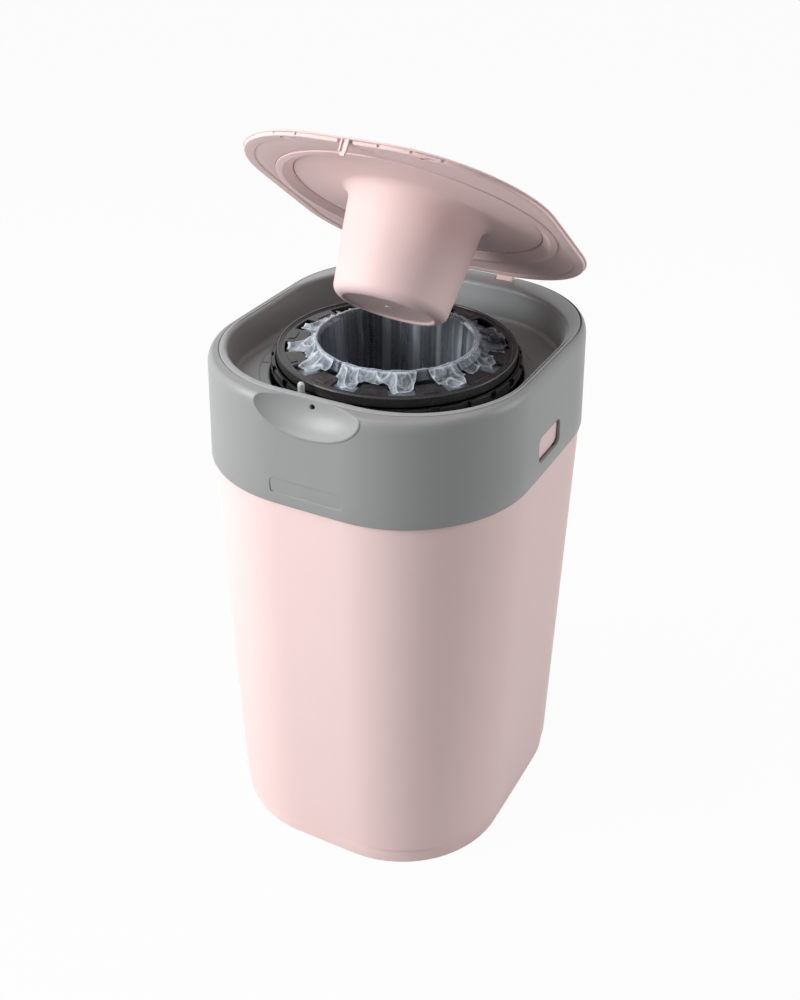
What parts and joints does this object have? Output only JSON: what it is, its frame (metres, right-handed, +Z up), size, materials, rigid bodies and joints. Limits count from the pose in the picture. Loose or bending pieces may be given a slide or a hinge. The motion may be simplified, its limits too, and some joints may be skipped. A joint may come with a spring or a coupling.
{
  "type": "nappy bin",
  "caption": "Upright nappy bin: tapered tub, lift-off collar unit with a turning film cassette, and a hinged lid whose twist dial carries a plunger cup.",
  "frame": {"origin": "centre of the footprint on the floor, under the bin", "axes": "+Z up; the front with the finger scoop faces -Y; +X to the right hand of someone behind the bin"},
  "size_m": [0.2652, 0.3022, 0.6088],
  "materials": {
    "pink_plastic": "fine satin moulded plastic, pale pink",
    "grey_plastic": "fine satin moulded plastic, warm light grey",
    "pale_grey_plastic": "smooth moulded plastic, pale grey",
    "black_plastic": "semi-gloss moulded plastic, near black",
    "film": "thin translucent bluish film, crinkled",
    "steel": "plain bright steel"
  },
  "bodies": {
    "tub": {"tub": "pink_plastic"},
    "latch_right": {"latch_right": "pink_plastic"},
    "latch_left": {"latch_left": "pink_plastic"},
    "upper_unit": {"collar_shell": "grey_plastic", "collar_liner": "grey_plastic", "gripper_ring": "black_plastic", "gripper_screw_1": "steel", "gripper_screw_2": "steel", "gripper_screw_3": "steel", "gripper_screw_4": "steel", "hinge_pin_right": "steel", "hinge_pin_left": "steel"},
    "turntable": {"turntable_ring": "black_plastic", "cassette_tub": "black_plastic", "cassette_cover": "black_plastic", "film_pack": "film", "film_tube": "film"},
    "click_pawl": {"click_pawl": "pale_grey_plastic"},
    "lid": {"lid_top": "pink_plastic", "lid_panel": "pink_plastic", "retaining_ring": "pink_plastic"},
    "dial": {"plunger_cup": "pink_plastic", "twist_knob": "pink_plastic"}
  },
  "joints": [
    {"name": "latch_right_press", "type": "hinge", "parent": "tub", "child": "latch_right", "pos_m": [0.12705, -0.0065, 0.3576], "axis": [0, -1, 0], "range_deg": [0, 8], "stiffness_Nm_per_rad": 1.5, "springref_deg": -1.15},
    {"name": "latch_left_press", "type": "hinge", "parent": "tub", "child": "latch_left", "pos_m": [-0.12705, -0.0065, 0.3576], "axis": [0, 1, 0], "range_deg": [0, 8], "stiffness_Nm_per_rad": 1.5, "springref_deg": -1.15},
    {"name": "unit_lift", "type": "slide", "parent": "tub", "child": "upper_unit", "axis": [0, 0, 1], "range_m": [0, 0.26]},
    {"name": "turntable_spin", "type": "hinge", "parent": "upper_unit", "child": "turntable", "pos_m": [0, -0.008, 0.4], "axis": [0, 0, 1], "continuous": true},
    {"name": "pawl_click", "type": "hinge", "parent": "upper_unit", "child": "click_pawl", "pos_m": [-0.028, -0.10566, 0.3975], "axis": [0.9613, -0.2756, 0], "range_deg": [0, 6], "stiffness_Nm_per_rad": 0.3, "springref_deg": -2.86},
    {"name": "lid_hinge", "type": "hinge", "parent": "upper_unit", "child": "lid", "pos_m": [0, 0.1385, 0.4375], "axis": [-1, 0, 0], "range_deg": [-36.1, 42]},
    {"name": "dial_twist", "type": "hinge", "parent": "lid", "child": "dial", "pos_m": [0, 0.02219, 0.52665], "axis": [0, 0.5892, 0.808], "continuous": true}
  ]
}
